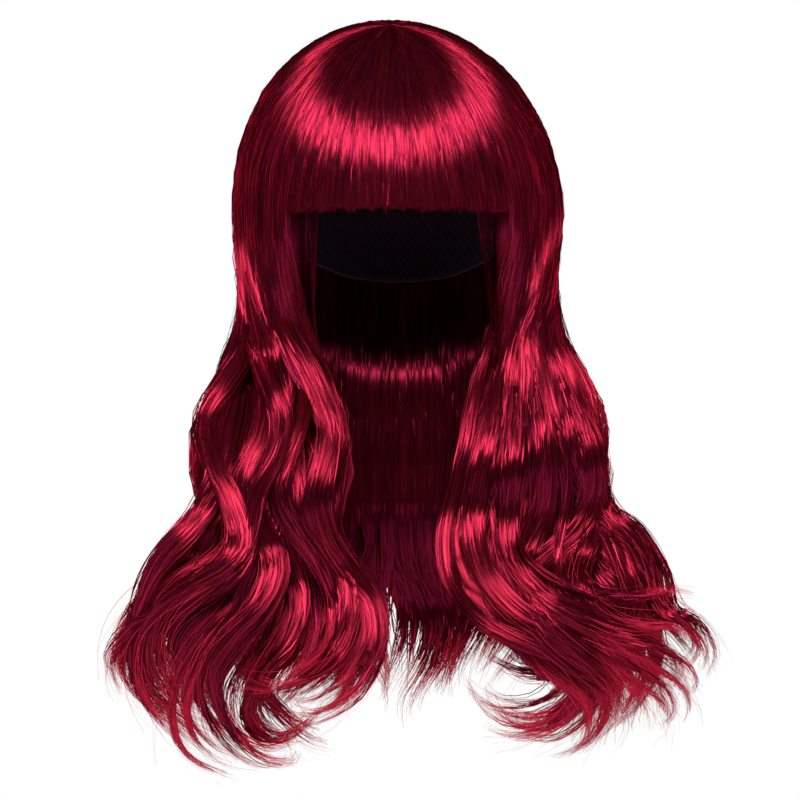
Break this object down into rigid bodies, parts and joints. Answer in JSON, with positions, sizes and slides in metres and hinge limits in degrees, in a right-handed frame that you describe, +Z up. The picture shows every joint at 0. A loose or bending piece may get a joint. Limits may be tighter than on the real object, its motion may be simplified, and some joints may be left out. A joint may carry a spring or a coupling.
{
  "type": "long wig",
  "caption": "Long wavy ruby-red wig with a full blunt fringe, a thin net cap open for the head, and heavy lengths that fall over the shoulders.",
  "frame": {"origin": "inside of the cap at the top of the head, where the wig sits", "axes": "+Z up, -Y towards the face side, +X towards the wearer's left"},
  "size_m": [0.3667, 0.2444, 0.4667],
  "materials": {
    "hair": "glossy synthetic fibre",
    "net": "matte elastic net"
  },
  "bodies": {
    "root": {"cap": "net", "crown_hair": "hair", "fringe": "hair", "right_length": "hair", "left_length": "hair", "back_length": "hair"}
  },
  "joints": []
}
